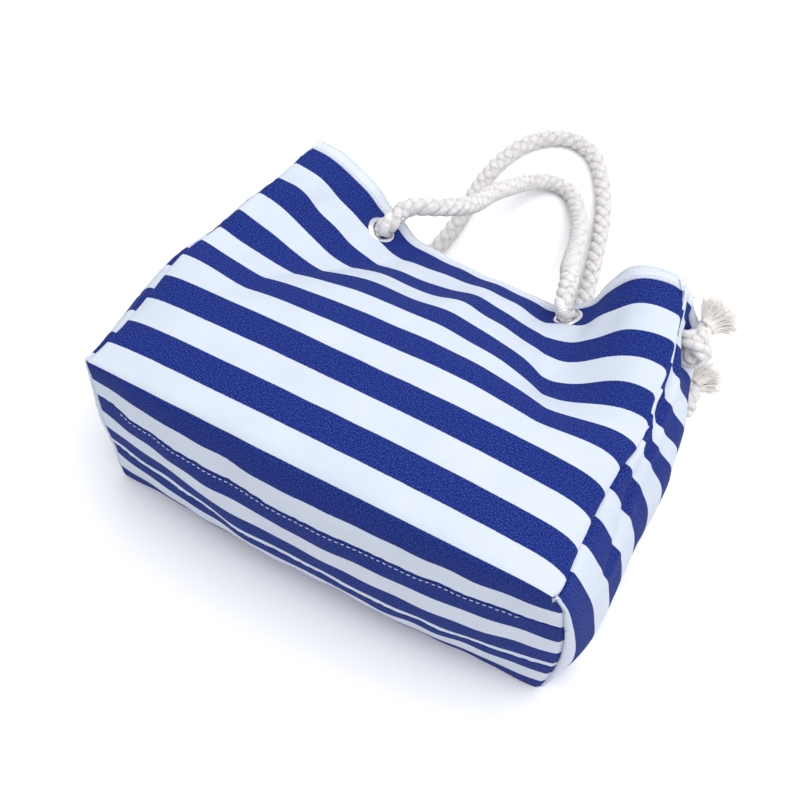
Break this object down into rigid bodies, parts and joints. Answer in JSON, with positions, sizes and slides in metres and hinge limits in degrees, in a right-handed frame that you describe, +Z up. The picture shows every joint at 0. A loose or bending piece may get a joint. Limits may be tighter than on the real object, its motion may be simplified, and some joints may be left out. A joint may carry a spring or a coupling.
{
  "type": "beach bag",
  "caption": "Soft striped canvas beach bag lying on its back, with an open mouth, side gussets and two thick rope handles knotted through metal eyelets.",
  "frame": {"origin": "on the ground, under the middle of the flat part of the back panel, with the bag lying on its back", "axes": "+X across the bag to the viewer's right, +Y from the base towards the open mouth and the handles, +Z up out of the front panel"},
  "size_m": [0.4762, 0.5849, 0.2102],
  "materials": {
    "canvas": "woven cotton canvas, navy and white stripes, matt",
    "hem_tape": "white woven tape and thread, matt",
    "eyelet_metal": "bright plated steel, lightly scuffed",
    "cotton_rope": "natural twisted cotton, fuzzy"
  },
  "bodies": {
    "bag": {"front_panel": "canvas", "back_panel": "canvas", "base_strip": "canvas", "left_gusset": "canvas", "right_gusset": "canvas", "rim_tape_front": "hem_tape", "rim_tape_back": "hem_tape", "rim_tape_left": "hem_tape", "rim_tape_right": "hem_tape", "eyelet_front_left": "eyelet_metal", "eyelet_front_right": "eyelet_metal", "eyelet_back_left": "eyelet_metal", "eyelet_back_right": "eyelet_metal", "eyelet_side_left_front": "eyelet_metal", "eyelet_side_left_back": "eyelet_metal", "eyelet_side_right_front": "eyelet_metal", "eyelet_side_right_back": "eyelet_metal", "washer_front_left": "eyelet_metal", "washer_front_right": "eyelet_metal", "washer_back_left": "eyelet_metal", "washer_back_right": "eyelet_metal", "washer_side_left_front": "eyelet_metal", "washer_side_left_back": "eyelet_metal", "washer_side_right_front": "eyelet_metal", "washer_side_right_back": "eyelet_metal", "rope_front_left": "cotton_rope", "rope_front_right": "cotton_rope", "rope_back_left": "cotton_rope", "rope_back_right": "cotton_rope"},
    "front_loop": {"front_handle": "cotton_rope"},
    "back_loop": {"back_handle": "cotton_rope"},
    "knot_left_front": {"knot_left_front": "cotton_rope", "tassel_left_front": "cotton_rope"},
    "knot_left_back": {"knot_left_back": "cotton_rope", "tassel_left_back": "cotton_rope"},
    "knot_right_front": {"knot_right_front": "cotton_rope", "tassel_right_front": "cotton_rope"},
    "knot_right_back": {"knot_right_back": "cotton_rope", "tassel_right_back": "cotton_rope"}
  },
  "joints": [
    {"name": "front_handle_swing", "type": "hinge", "parent": "bag", "child": "front_loop", "pos_m": [-0.08352, 0.17458, 0.14271], "axis": [0.9995, -0.0049, -0.0312], "range_deg": [0, 160]},
    {"name": "back_handle_lift", "type": "hinge", "parent": "bag", "child": "back_loop", "pos_m": [-0.084, 0.227, 0.0082], "axis": [1, 0, 0], "range_deg": [0, 35]},
    {"name": "knot_left_front_pull", "type": "slide", "parent": "bag", "child": "knot_left_front", "axis": [-0.9776, 0.2103, 0.0088], "range_m": [0, 0.01]},
    {"name": "knot_left_back_pull", "type": "slide", "parent": "bag", "child": "knot_left_back", "axis": [-0.9767, 0.1141, 0.182], "range_m": [0, 0.01]},
    {"name": "knot_right_front_pull", "type": "slide", "parent": "bag", "child": "knot_right_front", "axis": [0.94, 0.2072, 0.271], "range_m": [0, 0.01]},
    {"name": "knot_right_back_pull", "type": "slide", "parent": "bag", "child": "knot_right_back", "axis": [0.9859, 0.1485, -0.0771], "range_m": [0, 0.01]}
  ]
}
